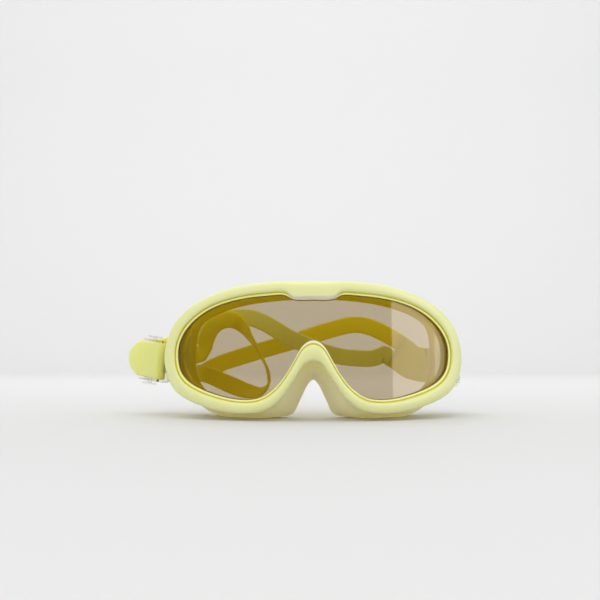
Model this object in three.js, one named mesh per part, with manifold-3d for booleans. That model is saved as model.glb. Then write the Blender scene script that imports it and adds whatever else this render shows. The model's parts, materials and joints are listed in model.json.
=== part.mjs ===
// Swimming and diving mask with one wrap-round lens, a soft skirt and a split head strap
// held by two swivelling buckles. Millimetres, +X to the wearer's left, +Y towards the wearer, +Z up.
// It is modelled about the mask's own middle plane, then moved to stand at the middle of its base.

import * as THREE from 'three';
import { mergeVertices } from 'three/addons/utils/BufferGeometryUtils.js';
import Module from 'manifold-3d';

const wasm = await Module();
wasm.setup();

// ---------- driving dimensions ----------

const WRAP_RADIUS = 120;          // the lens and frame lie on an upright cylinder of this radius
const SPANS_PER_STATION = 2;      // facets between two neighbouring outline points

const GAP = 0.3;                  // running clearance between neighbouring pieces
const LENS_FRONT = 2.9;           // depths behind the wrap cylinder
const LENS_THICKNESS = 2.0;
const FLANGE_FRONT = LENS_FRONT + LENS_THICKNESS + GAP;
const FLANGE_BACK = FLANGE_FRONT + 1.5;
const RETAINER_FRONT = FLANGE_BACK + GAP;
const RETAINER_BACK = RETAINER_FRONT + 2.3;
const FRAME_BACK = 11;
const TAB_FRONT = 0.9;            // how far the brow tab's face stands in front of the wrap cylinder
const SKIRT_NECK = 12;            // depth at which the skirt leaves the frame
const SKIRT_WALL = 1.7;

const STRAP_WIDTH = 20;
const STRAP_THICKNESS = 1.6;
const BAND_WIDTH = 9.6;           // each of the two rear bands
const STRAP_GAP = 0.9;            // between neighbouring lengths of the strap
const BEND_RADIUS = 8;            // centre line of the strap where it leaves a buckle

const PIN_X = 75.8;               // hinge pin of a buckle
const PIN_Y = 43;
const PIN_Z = 28.5;
const PIN_CANT = 8;               // degrees, top of the pin leaning inwards
const PIN_RADIUS = 1.0;
const PIN_CLEARANCE = 0.35;
const PIN_HEAD = 0.6;             // thickness of the pin's two flat heads
const PIN_HEAD_RADIUS = 1.8;
const LEFT_FLARE = 65;            // degrees each buckle stands out from straight back
const RIGHT_FLARE = 6;

const LUG_INNER = 6.2;            // heights of the frame's hinge lugs along the pin
const LUG_OUTER = 9.2;
const LUG_RADIUS = 2.7;
const LUG_WEB = 2.4;              // thickness of the web between a lug and the frame's wall
const UPPER_LUG_WALL = [2.7, -5.4];  // where the upper and lower webs end in the wall, from the pin
const LOWER_LUG_WALL = [-1.1, -5.4];
const BARREL_RADIUS = 2.5;
const ROLLER_U = 8.5;             // distance of the roller from the pin
const ROLLER_RADIUS = 1.6;
const AXLE_RADIUS = 0.7;
const RAIL_INNER = STRAP_WIDTH / 2 + GAP;
const RAIL_OUTER = RAIL_INNER + 1.0;
const RAIL_START = 3;
const RAIL_END = 19.5;
const RAIL_HEIGHT = 6;
const YOKE_START = 3.2;           // the yoke joins the barrel to the rails
const YOKE_END = 4.6;
const YOKE_HEIGHT = 4.4;
const NECK_HEIGHT = 3.2;
const BRIDGE_START = 10.9;        // the bridge joins the rails behind the roller
const BRIDGE_END = 17;
const BRIDGE_HEIGHT = 3;
const POCKET_START = 12.1;        // pockets in the bridge for the squeeze buttons' stems
const POCKET_END = 15.4;
const POCKET_HEIGHT = 1.8;
const POCKET_FLOOR = 4.5;
const BUTTON_TRAVEL = 0.8;
const BUTTON_START = 10.2;
const BUTTON_END = 17.4;
const BUTTON_HEIGHT = 4.6;
const BUTTON_THICKNESS = 1.0;
const BUTTON_STANDOFF = 0.2;      // left between a pressed button and its rail
const STEM_START = 12.5;
const STEM_END = 15;
const STEM_HEIGHT = 1.2;
const STEM_TIP = 7.5;
const SPRING_FOOT = 4.8;
const SPRING_NEAR = 12.8;         // the zigzag's two sides
const SPRING_FAR = 14.4;
const SPRING_ROWS = 5;
const SPRING_RISE = 0.5;
const SPRING_WIRE = 0.3;
const SPRING_DEPTH = 0.8;
const TAIL_END = 27.5;            // distance of the strap's rounded end from the pin
const RUN_END = 20;               // where the strap's inner run leaves the buckle

// ---------- outlines ----------
// Half outlines from the top middle, round the wearer's left eye, to the nose arch: [x, z] or [x, z, y].

const LENS_EDGE = [
  [0, 60.3], [9.6, 60.3], [14.3, 62.8], [21.5, 62.5], [31.5, 61.7], [41.8, 59.9], [52.4, 56.3],
  [60.5, 51.2], [66.5, 45], [69.7, 38.5], [70.3, 32], [69.1, 25.2], [65.2, 19.9], [57.8, 15.7],
  [47, 12.2], [36.6, 10.5], [26.5, 11.5], [19, 16.5], [13.5, 23.4], [9.1, 31], [5, 37.9], [0, 40.4],
];
const RIM_EDGE = [
  [0, 69.7], [11, 69.7], [16, 69.6], [23, 69.3], [34, 68.3], [45.5, 65.8], [57, 61.5],
  [66, 56.2], [73, 49.4], [76.9, 41.4], [79, 31], [77.3, 22.9], [72.8, 14.2], [62, 8.3],
  [49.4, 5], [37, 3.5], [24.5, 5.1], [16.8, 10.4], [12, 16.8], [7.6, 23.6], [4, 28.4], [0, 30],
];
const SKIRT_WAIST = [
  [0, 65.5, 22], [11.5, 65.4, 22.5], [17, 66.3, 23], [25, 66.2, 24], [35, 65.4, 26.5],
  [45.5, 63.2, 30], [57, 59.2, 35], [66, 54, 40], [69.4, 47, 44], [69.9, 39, 46.5],
  [70.8, 31, 47.5], [70.5, 22.5, 47], [67.5, 13, 44], [59, 4.2, 37], [48, 0, 30], [37, 0, 22],
  [24.5, 0, 18], [15, 5, 18], [10.6, 12.6, 18.5], [7, 20, 18.5], [3.8, 25.4, 18], [0, 27.2, 18],
];
const FACE_EDGE = [
  [0, 69.2, 36], [13, 69, 36.3], [19.5, 68.7, 36.8], [27, 68, 38], [37, 66.4, 40.5],
  [47, 63.9, 44.5], [58, 59.9, 50], [66.6, 54.4, 55], [69.8, 47.4, 59], [70.3, 39, 61],
  [71.2, 31, 61.5], [71, 22, 61], [68, 12.5, 58.5], [59.5, 3.8, 54], [49, 0, 49.5], [37.5, 0, 44.5],
  [22, 0, 38], [11.2, 1.6, 32], [9, 7.2, 30], [6.3, 12.8, 27.5], [3.4, 17.6, 25.6], [0, 19.7, 25],
];
const SEAL_LIP = [
  [0, 62.3], [12, 62.2], [18, 61.8], [25, 61.2], [34, 60], [43.5, 57.9], [53, 54.8],
  [61.2, 50], [64.4, 44.5], [65.3, 38], [66, 31], [65.3, 23.6], [62.5, 16.8], [56, 10.6],
  [47.5, 7.2], [37.5, 6.8], [27, 7.6], [19.8, 10.4], [15.4, 15], [11.4, 20.6], [6.4, 26.4], [0, 28.6],
];
const CHEEK_HEIGHT = 0;           // the skirt's cheeks are flat below, and the mask stands on them
const BROW_TAB = [[-13, 68], [-10.2, 62.4], [10.2, 62.4], [13, 68]];
const BROW_TAB_BACK = 1.6;        // depth behind the wrap cylinder

// Cross-sections: [share of the way from lens edge to rim, depth behind the wrap cylinder]

const FRAME_SECTION = [
  [0.19, 1.7], [0.19, 0.9], [0.3, 0.15], [0.55, -0.3], [0.82, 0.9], [1, 3.6],
  [1, FRAME_BACK], [0.8, FRAME_BACK], [0.8, 1.7],
];
const SEAL_SECTION = [
  [0, LENS_FRONT - GAP], [0, 1.4], [0.08, 1.1], [0.15, 1.4], [0.15, 2], [0.5, 2], [0.5, LENS_FRONT - GAP],
];
const RETAINER_SECTION = [
  [0.3, RETAINER_FRONT], [0.74, RETAINER_FRONT], [0.74, RETAINER_BACK], [0.3, RETAINER_BACK],
];
const LENS_SHARE = 0.7;           // how far the lens reaches under the frame
const LENS_REACH = 77;            // half width, height and steps of the curved sheet it is cut from
const LENS_SHEET_HEIGHT = 80;
const LENS_STEPS = 36;
const FLANGE_SHARE = 0.72;        // how far the skirt's flange reaches under the frame
const NECK_SHARE = 0.24;          // outside of the skirt's neck

// The strap's rear: centre lines chosen as it lies folded behind the mask.

const CROSSING_BAND = [
  [-63.8, 72.9, 46.9], [-58, 71.4, 50.5], [-51, 69.8, 53.3], [-44, 68.8, 54.6], [-36, 68.3, 54.4],
  [-28, 68, 51.5], [-13.5, 68, 43], [-2, 68.5, 38], [12, 69, 33], [27, 70, 31], [36, 70.8, 31.4],
];
// The other band loops over, down, back to the left and folds behind itself. Each place also has
// the direction of the band's width there: [x, y, z, width x, width y, width z].
const LOOPED_BAND = [
  [-62.8, 70.2, 36.1, -0.31, 0, 0.95], [-60.3, 67.3, 43.8, -0.8, 0, 0.6],
  [-56.5, 65, 49.6, -0.55, 0, 0.83], [-50.5, 64, 52.8, -0.15, 0, 1], [-44.5, 63, 52.6, 0.25, -0.2, 0.95],
  [-39.6, 62, 48.9, 0.5, -0.75, 0.5], [-35.6, 61, 43.2, 0.3, -1, 0.2], [-31.8, 60.5, 37.4, 0.15, -1, 0],
  [-28.4, 60.3, 31, 0.1, -1, 0], [-25.2, 60.3, 23.6, 0, -1, 0], [-25, 60.3, 16.5, 0, -1, -0.1],
  [-29.5, 60.3, 12.3, 0, -1, -0.5], [-36.5, 60.5, 12.6, 0, -0.6, -0.9], [-44.5, 60.8, 15.4, 0, -0.15, -1],
  [-52.5, 61.5, 18.8, 0, 0, -1], [-59, 63, 21.6, 0, 0, -1], [-64.3, 66, 22.5, 0, 0, -1],
  [-66.2, 70, 22.6, 0, 0, -1], [-63.4, 73.5, 22.9, 0, 0, -1], [-58.5, 74.3, 25.6, 0, 0, -1],
  [-52, 74.4, 28.6, 0, 0, -1], [-44.5, 74.525, 31.1, 0, 0, -1], [-36, 74.5, 33.8, 0, 0, -1],
  [-20, 74.5, 38.5, 0, 0, -1], [-7.6, 74.3, 42, 0, 0, -1], [10, 74, 47.5, 0, 0, -1],
  [24, 73.7, 50.6, 0, 0, -1], [34, 73.3, 48.8, -0.2, 0, -0.98],
];
const LEFT_RUN = [[-92, 71.5, 31.5], [-84, 74.3, 33]];
const RIGHT_RUN = [[57.5, 73.3, 28.9]];
const LEFT_SLIT = [-70, 73.5, 37.5];   // where the full-width strap divides in two
const RIGHT_SLIT = [47, 72, 36];
const LEFT_SLIT_SLOPE = 18;            // degrees
const RIGHT_SLIT_SLOPE = 33;

// ---------- helpers ----------

const radians = THREE.MathUtils.degToRad;
const wrapDepth = (x) => WRAP_RADIUS - Math.sqrt(WRAP_RADIUS ** 2 - x ** 2);

function finish(name, geometry, [color, roughness, metalness = 0, opacity = 1]) {
  const transparent = opacity < 1;
  const material = new THREE.MeshStandardMaterial({ color, roughness, metalness, opacity, transparent });
  const mesh = new THREE.Mesh(geometry, material);
  mesh.name = name;
  return mesh;
}

function toSolid(geometry) {
  const bare = geometry.clone();
  bare.deleteAttribute('normal');
  bare.deleteAttribute('uv');
  const merged = mergeVertices(bare, 1e-4);
  const vertProperties = new Float32Array(merged.attributes.position.array);
  const triVerts = new Uint32Array(merged.index.array);
  return new wasm.Manifold(new wasm.Mesh({ numProp: 3, vertProperties, triVerts }));
}

function toGeometry(solid) {
  const mesh = solid.getMesh();
  const geometry = new THREE.BufferGeometry();
  geometry.setAttribute('position', new THREE.BufferAttribute(new Float32Array(mesh.vertProperties), 3));
  geometry.setIndex(new THREE.BufferAttribute(new Uint32Array(mesh.triVerts), 1));
  return geometry;
}

// Adds up solids, then takes others away from the sum.
function shape(added, removed = []) {
  let solid = toSolid(added[0]);
  for (const geometry of added.slice(1)) solid = solid.add(toSolid(geometry));
  for (const geometry of removed) solid = solid.subtract(toSolid(geometry));
  return toGeometry(solid);
}

function block(u0, u1, v0, v1, w0, w1) {
  const geometry = new THREE.BoxGeometry(u1 - u0, v1 - v0, w1 - w0);
  return geometry.translate((u0 + u1) / 2, (v0 + v1) / 2, (w0 + w1) / 2);
}

// A round bar along local w.
function bar(radius, w0, w1, u = 0, v = 0, sides = 20) {
  const geometry = new THREE.CylinderGeometry(radius, radius, w1 - w0, sides);
  return geometry.rotateX(Math.PI / 2).translate(u, v, (w0 + w1) / 2);
}

// An outline in u and v, extruded along w.
function prism(points, w0, w1) {
  const outline = new THREE.Shape(points.map(([u, v]) => new THREE.Vector2(u, v)));
  const geometry = new THREE.ExtrudeGeometry(outline, { depth: w1 - w0, bevelEnabled: false });
  return geometry.translate(0, 0, w0);
}

// Joins rings of points into one closed skin. A closed loft runs round a loop; an open one is capped.
function loft(rings, closed) {
  const size = rings[0].length;
  const positions = rings.flat().flatMap((p) => [p.x, p.y, p.z]);
  const index = [];
  const last = closed ? rings.length : rings.length - 1;
  for (let i = 0; i < last; i += 1) {
    const next = (i + 1) % rings.length;
    for (let j = 0; j < size; j += 1) {
      const k = (j + 1) % size;
      index.push(i * size + j, next * size + j, next * size + k);
      index.push(i * size + j, next * size + k, i * size + k);
    }
  }
  if (!closed) {
    const end = (rings.length - 1) * size;
    for (let j = 1; j < size - 1; j += 1) {
      index.push(0, j, j + 1);
      index.push(end, end + j + 1, end + j);
    }
  }
  const geometry = new THREE.BufferGeometry();
  geometry.setAttribute('position', new THREE.Float32BufferAttribute(positions, 3));
  geometry.setIndex(signedVolume(positions, index) < 0 ? index.reverse() : index);
  return geometry;
}

function signedVolume(positions, index) {
  const corner = (i) => new THREE.Vector3(positions[3 * i], positions[3 * i + 1], positions[3 * i + 2]);
  let volume = 0;
  for (let i = 0; i < index.length; i += 3) {
    volume += corner(index[i]).dot(corner(index[i + 1]).cross(corner(index[i + 2]))) / 6;
  }
  return volume;
}

// A half outline mirrored into a smooth closed curve. Its points keep their order, so curves match.
function closedCurve(half) {
  const points = half.map(([x, z, y = 0]) => new THREE.Vector3(x, y, z));
  const mirrored = points.slice(1, -1).reverse().map((p) => new THREE.Vector3(-p.x, p.y, p.z));
  return new THREE.CatmullRomCurve3([...points, ...mirrored], true, 'centripetal');
}

const STATION_COUNT = 2 * (LENS_EDGE.length - 1) * SPANS_PER_STATION;
const lensCurve = closedCurve(LENS_EDGE);
const rimCurve = closedCurve(RIM_EDGE);
const waistCurve = closedCurve(SKIRT_WAIST);
const faceCurve = closedCurve(FACE_EDGE);
const lipCurve = closedCurve(SEAL_LIP);

// A point between lens edge and rim, at a depth behind the wrap cylinder.
function rimPoint(t, share, depth) {
  const p = lensCurve.getPoint(t).lerp(rimCurve.getPoint(t), share);
  return new THREE.Vector3(p.x, wrapDepth(p.x) + depth, p.z);
}

function ringLoft(sectionAt) {
  const rings = [];
  for (let i = 0; i < STATION_COUNT; i += 1) rings.push(sectionAt(i / STATION_COUNT));
  return loft(rings, true);
}

const rimRing = (section) => ringLoft((t) => section.map(([share, depth]) => rimPoint(t, share, depth)));

// A flat band carried along a curve. acrossAt gives the direction of its width from the share of the
// length passed and the share of the points passed; it is made square to the curve.
function strapStrip(points, acrossAt, width, steps) {
  const curve = new THREE.CatmullRomCurve3(points, false, 'centripetal');
  const rings = [];
  for (let i = 0; i <= steps; i += 1) {
    const t = i / steps;
    const centre = curve.getPointAt(t);
    const along = curve.getTangentAt(t);
    const across = acrossAt(t, curve.getUtoTmapping(t));
    across.addScaledVector(along, -across.dot(along)).setLength(width / 2);
    const through = along.clone().cross(across).setLength(STRAP_THICKNESS / 2);
    const corner = (a, b) => centre.clone().addScaledVector(across, a).addScaledVector(through, b);
    rings.push([corner(-1, -1), corner(1, -1), corner(1, 1), corner(-1, 1)]);
  }
  return loft(rings, false);
}

// A width direction that turns evenly from one to the other.
const turning = (from, to) => (share) => from.clone().lerp(to, share);

// A width direction that passes through a list of directions, one for each point of the curve.
function passing(directions) {
  return (_, share) => {
    const at = share * (directions.length - 1);
    const i = Math.min(Math.floor(at), directions.length - 2);
    return directions[i].clone().lerp(directions[i + 1], at - i);
  };
}

const vectors = (points) => points.map((p) => new THREE.Vector3(...p));

// ---------- finishes: colour, roughness, metalness, opacity ----------

const FRAME_YELLOW = [0xdde0a2, 0.45];
const SEAL_YELLOW = [0xe6e49a, 0.5];
const SMOKE_TINT = [0xa08c5a, 0.06, 0, 0.5];
const SILICONE = [0xd2d080, 0.55];
const CLEAR_PLASTIC = [0xe4e6da, 0.12, 0, 0.4];
const STEEL = [0xb4b6b8, 0.3, 1];

// ---------- front: frame, lens, seal, skirt, retainer ----------

// Where a buckle's pin frame sits: u away from the pin along the buckle, v towards the head, w along the pin.
function pinFrame(side, flare) {
  const hinge = new THREE.Group();
  hinge.position.set(side * PIN_X, PIN_Y, PIN_Z);
  hinge.rotation.y = -side * radians(PIN_CANT);
  const turned = new THREE.Group();
  const turn = radians(90 - side * flare);
  turned.rotation.set(side < 0 ? Math.PI : 0, 0, turn, 'ZYX');
  hinge.add(turned);
  hinge.updateMatrixWorld(true);
  return turned;
}

// Two lugs on each side of the frame carry a buckle's pin. A web runs from each into the frame's wall.
function hingeLug(side, level) {
  const wall = new THREE.Vector2(...(level > 0 ? UPPER_LUG_WALL : LOWER_LUG_WALL));
  const web = block(-LUG_WEB / 2, LUG_WEB / 2, 0, wall.length(), LUG_INNER, LUG_OUTER);
  web.rotateZ(Math.atan2(-wall.x, wall.y));
  const lug = shape(
    [bar(LUG_RADIUS, LUG_INNER, LUG_OUTER), web],
    [bar(PIN_RADIUS + PIN_CLEARANCE, LUG_INNER - 1, LUG_OUTER + 1)],
  );
  if (level < 0) lug.translate(0, 0, -(LUG_INNER + LUG_OUTER));
  const placed = new THREE.Matrix4().makeRotationY(-radians(PIN_CANT));
  placed.setPosition(PIN_X, PIN_Y, PIN_Z);
  lug.applyMatrix4(placed);
  return side < 0 ? mirrorX(lug) : lug;
}

function mirrorX(geometry) {
  const mirrored = geometry.clone().scale(-1, 1, 1);
  mirrored.setIndex(Array.from(mirrored.index.array).reverse());
  return mirrored;
}

// The flat brow tab over the middle of the lens: a trapezium with a plain level front face.
function browTab() {
  return prism(BROW_TAB, -BROW_TAB_BACK, TAB_FRONT).rotateX(Math.PI / 2);
}

function frontFrame() {
  const lugs = [];
  for (const side of [-1, 1]) {
    for (const level of [-1, 1]) lugs.push(hingeLug(side, level));
  }
  return shape([rimRing(FRAME_SECTION), browTab(), ...lugs]);
}

// The lens is a curved sheet cut to its outline.
function lens() {
  const outline = [];
  for (let i = 0; i < STATION_COUNT; i += 1) {
    const p = rimPoint(i / STATION_COUNT, LENS_SHARE, 0);
    outline.push([p.x, -p.z]);
  }
  const cutter = prism(outline, -5, 60).rotateX(-Math.PI / 2);
  const xs = Array.from({ length: LENS_STEPS + 1 }, (_, i) => LENS_REACH * ((2 * i) / LENS_STEPS - 1));
  const front = xs.map((x) => [x, wrapDepth(x) + LENS_FRONT]);
  const back = xs.map((x) => [x, wrapDepth(x) + LENS_FRONT + LENS_THICKNESS]).reverse();
  const sheet = prism([...front, ...back], 0, LENS_SHEET_HEIGHT);
  return toGeometry(toSolid(sheet).intersect(toSolid(cutter)));
}

// The skirt runs from the flange clamped behind the lens to a lip turned in against the face.
function skirt() {
  return ringLoft((t) => {
    const waist = waistCurve.getPoint(t);
    const face = faceCurve.getPoint(t);
    waist.z = Math.max(waist.z, CHEEK_HEIGHT);
    face.z = Math.max(face.z, CHEEK_HEIGHT);
    const tip = lipCurve.getPoint(t).setY(face.y - 1);
    const inwards = tip.clone().sub(face).setY(0).setLength(SKIRT_WALL);
    const back = (p, depth) => p.clone().add(new THREE.Vector3(0, depth, 0));
    return [
      rimPoint(t, FLANGE_SHARE, FLANGE_FRONT),
      rimPoint(t, 0, FLANGE_FRONT),
      rimPoint(t, 0, SKIRT_NECK),
      waist.clone().add(inwards),
      back(face.clone().add(inwards), -SKIRT_WALL),
      back(tip, -1),
      tip,
      face,
      waist,
      rimPoint(t, NECK_SHARE, SKIRT_NECK),
      rimPoint(t, NECK_SHARE, FLANGE_BACK),
      rimPoint(t, FLANGE_SHARE, FLANGE_BACK),
    ];
  });
}

// ---------- buckles, in the pin frame ----------

// A block of the buckle that is centred on its middle plane, from w0 to w1.
const slab = (u0, u1, height, w0, w1) => block(u0, u1, -height / 2, height / 2, w0, w1);

function buckleBody() {
  const barrel = LUG_INNER - GAP;
  return shape(
    [
      bar(BARREL_RADIUS, -barrel, barrel),
      slab(0, YOKE_END, NECK_HEIGHT, -barrel, barrel),
      slab(YOKE_START, YOKE_END, YOKE_HEIGHT, -RAIL_OUTER, RAIL_OUTER),
      slab(BRIDGE_START, BRIDGE_END, BRIDGE_HEIGHT, -RAIL_OUTER, RAIL_OUTER),
      slab(RAIL_START, RAIL_END, RAIL_HEIGHT, -RAIL_OUTER, -RAIL_INNER),
      slab(RAIL_START, RAIL_END, RAIL_HEIGHT, RAIL_INNER, RAIL_OUTER),
    ],
    [
      bar(PIN_RADIUS + PIN_CLEARANCE, -LUG_OUTER, LUG_OUTER),
      bar(AXLE_RADIUS + GAP, -RAIL_OUTER - 1, RAIL_OUTER + 1, ROLLER_U),
      slab(POCKET_START, POCKET_END, POCKET_HEIGHT, -RAIL_OUTER - 1, -POCKET_FLOOR),
      slab(POCKET_START, POCKET_END, POCKET_HEIGHT, POCKET_FLOOR, RAIL_OUTER + 1),
    ],
  );
}

function hingePin() {
  const neck = LUG_OUTER + GAP;
  const end = neck + PIN_HEAD;
  return shape([
    bar(PIN_RADIUS, -end, end),
    bar(PIN_HEAD_RADIUS, neck, end),
    bar(PIN_HEAD_RADIUS, -end, -neck),
  ]);
}

function roller() {
  const half = STRAP_WIDTH / 2;
  const bore = bar(AXLE_RADIUS + GAP, -half - 1, half + 1, ROLLER_U);
  return shape([bar(ROLLER_RADIUS, -half, half, ROLLER_U)], [bore]);
}

function button(end) {
  const face = RAIL_OUTER + BUTTON_TRAVEL + BUTTON_STANDOFF;
  return turnedOver(shape([
    slab(BUTTON_START, BUTTON_END, BUTTON_HEIGHT, face, face + BUTTON_THICKNESS),
    slab(STEM_START, STEM_END, STEM_HEIGHT, STEM_TIP, face + BUTTON_THICKNESS / 2),
  ]), end);
}

// A zigzag leaf between the floor of the button's pocket and the button's stem.
function buttonSpring(end) {
  const left = [];
  const right = [];
  for (let i = 0; i <= SPRING_ROWS; i += 1) {
    const u = i % 2 ? SPRING_NEAR : SPRING_FAR;
    left.push([u, i * SPRING_RISE]);
    right.push([u + SPRING_WIRE, i * SPRING_RISE]);
  }
  const zigzag = prism([...left, ...right.reverse()], -SPRING_DEPTH / 2, SPRING_DEPTH / 2);
  return turnedOver(zigzag.rotateX(Math.PI / 2).translate(0, 0, SPRING_FOOT), end);
}

// Turns a piece made for the +w end round the buckle's u axis to the -w end.
function turnedOver(geometry, end) {
  return end < 0 ? geometry.rotateX(Math.PI) : geometry;
}

// The strap's end: along the buckle's inner side, round the roller, and back out as a round-ended tail.
function strapTail() {
  const inner = ROLLER_RADIUS + GAP;
  const outer = inner + STRAP_THICKNESS;
  const arc = (radius) => {
    const points = [];
    for (let i = 0; i <= 12; i += 1) {
      const angle = Math.PI / 2 + (Math.PI * i) / 12;
      points.push([ROLLER_U + radius * Math.cos(angle), radius * Math.sin(angle)]);
    }
    return points;
  };
  const half = STRAP_WIDTH / 2;
  const lap = ROLLER_U + 4;
  const hook = [[RUN_END, outer], ...arc(outer), [lap, -outer]];
  const returned = [[lap, -inner], ...arc(inner).reverse(), [RUN_END, inner]];
  const wrap = prism([...hook, ...returned], -half, half);
  const end = new THREE.Shape();
  end.moveTo(ROLLER_U + 2, -half);
  end.lineTo(TAIL_END - half, -half);
  end.absarc(TAIL_END - half, 0, half, -Math.PI / 2, Math.PI / 2);
  end.lineTo(ROLLER_U + 2, half);
  const sheet = { depth: STRAP_THICKNESS, bevelEnabled: false, curveSegments: 16 };
  const tail = new THREE.ExtrudeGeometry(end, sheet);
  tail.rotateX(Math.PI / 2).translate(0, -inner, 0);
  return shape([wrap, tail]);
}

// The quarter turn that the strap makes towards the back of the head.
function strapBend() {
  const middle = ROLLER_RADIUS + GAP + STRAP_THICKNESS / 2;
  const centre = [RUN_END + GAP, middle + BEND_RADIUS];
  const arc = (radius) => {
    const points = [];
    for (let i = 0; i <= 12; i += 1) {
      const angle = -Math.PI / 2 + (Math.PI / 2) * (i / 12);
      points.push([centre[0] + radius * Math.cos(angle), centre[1] + radius * Math.sin(angle)]);
    }
    return points;
  };
  const outside = arc(BEND_RADIUS + STRAP_THICKNESS / 2);
  const inside = arc(BEND_RADIUS - STRAP_THICKNESS / 2).reverse();
  return prism([...outside, ...inside], -STRAP_WIDTH / 2, STRAP_WIDTH / 2);
}

// A slit's start, with the strap's slope there: gives places along and across it.
function slitEnd(place, slope, side) {
  const heading = new THREE.Vector3(-side * Math.cos(radians(slope)), 0, Math.sin(radians(slope)));
  const across = new THREE.Vector3(side * heading.z, 0, Math.abs(heading.x));
  const at = (along, level) => (
    new THREE.Vector3(...place).addScaledVector(heading, along).addScaledVector(across, level)
  );
  return { at, across };
}

const leftSlit = slitEnd(LEFT_SLIT, LEFT_SLIT_SLOPE, -1);
const rightSlit = slitEnd(RIGHT_SLIT, RIGHT_SLIT_SLOPE, 1);

// From the end of the bend to the slit, in the mask's own frame.
function strapRun(side, frame, middlePoints, slit) {
  const u = RUN_END + GAP + BEND_RADIUS;
  const v = ROLLER_RADIUS + GAP + STRAP_THICKNESS / 2 + BEND_RADIUS + STRAP_GAP;
  const start = [0, 1.2, 2.4].map((along) => frame.localToWorld(new THREE.Vector3(u, v + along, 0)));
  const axis = new THREE.Vector3(-side * Math.sin(radians(PIN_CANT)), 0, Math.cos(radians(PIN_CANT)));
  const points = [...start, ...vectors(middlePoints), slit.at(-4, 0), slit.at(0, 0)];
  return strapStrip(points, turning(axis, slit.across), STRAP_WIDTH, 16);
}

// Where a narrow band starts at a slit, above or below the strap's middle.
function bandStart(slit, level) {
  const offset = level * (STRAP_WIDTH - BAND_WIDTH) / 2;
  return [STRAP_GAP, STRAP_GAP + 2.5].map((along) => slit.at(along, offset));
}

function crossingBand() {
  const end = bandStart(rightSlit, -1).reverse();
  const points = [...bandStart(leftSlit, 1), ...vectors(CROSSING_BAND), ...end];
  return strapStrip(points, turning(leftSlit.across, rightSlit.across), BAND_WIDTH, 40);
}

function loopedBand() {
  const middle = vectors(LOOPED_BAND.map((row) => row.slice(0, 3)));
  const points = [...bandStart(leftSlit, -1), ...middle, ...bandStart(rightSlit, 1).reverse()];
  const end = rightSlit.across.clone().negate();
  const widths = vectors(LOOPED_BAND.map((row) => row.slice(3)));
  const directions = [leftSlit.across, leftSlit.across, ...widths, end, end];
  return strapStrip(points, passing(directions), BAND_WIDTH, 100);
}

// ---------- assembly ----------

const mask = new THREE.Group();

mask.add(finish('front_frame', frontFrame(), FRAME_YELLOW));
mask.add(finish('lens', lens(), SMOKE_TINT));
mask.add(finish('lens_seal', rimRing(SEAL_SECTION), SEAL_YELLOW));
mask.add(finish('skirt', skirt(), SILICONE));
mask.add(finish('skirt_retainer', rimRing(RETAINER_SECTION), FRAME_YELLOW));
mask.add(finish('strap_crossing_band', crossingBand(), SILICONE));
mask.add(finish('strap_back_band', loopedBand(), SILICONE));

const sides = [
  { name: 'left', side: -1, flare: LEFT_FLARE, run: LEFT_RUN, slit: leftSlit },
  { name: 'right', side: 1, flare: RIGHT_FLARE, run: RIGHT_RUN, slit: rightSlit },
];
for (const { name, side, flare, run, slit } of sides) {
  const frame = pinFrame(side, flare);
  frame.add(finish(`${name}_hinge_pin`, hingePin(), STEEL));
  frame.add(finish(`${name}_buckle_body`, buckleBody(), CLEAR_PLASTIC));
  const axle = bar(AXLE_RADIUS, -RAIL_OUTER, RAIL_OUTER, ROLLER_U, 0, 12);
  frame.add(finish(`${name}_roller_axle`, axle, STEEL));
  frame.add(finish(`${name}_strap_roller`, roller(), CLEAR_PLASTIC));
  for (const end of [-1, 1]) {
    const level = end * side > 0 ? 'upper' : 'lower';
    frame.add(finish(`${name}_${level}_button`, button(end), CLEAR_PLASTIC));
    frame.add(finish(`${name}_${level}_button_spring`, buttonSpring(end), STEEL));
  }
  frame.add(finish(`${name}_strap_tail`, strapTail(), SILICONE));
  frame.add(finish(`${name}_strap_bend`, strapBend(), SILICONE));
  mask.add(finish(`${name}_strap_run`, strapRun(side, frame, run, slit), SILICONE));
  mask.add(frame.parent);
}

// Stand the mask at the middle of its base.
mask.updateMatrixWorld(true);
const extent = new THREE.Box3().setFromObject(mask, true);
const middle = extent.getCenter(new THREE.Vector3());
mask.position.set(-middle.x, -middle.y, -extent.min.z);

export default mask;
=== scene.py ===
"""A swimming and diving mask: wrap-round tinted lens, pale moulded frame, soft skirt and split strap."""
import json
import math

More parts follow.
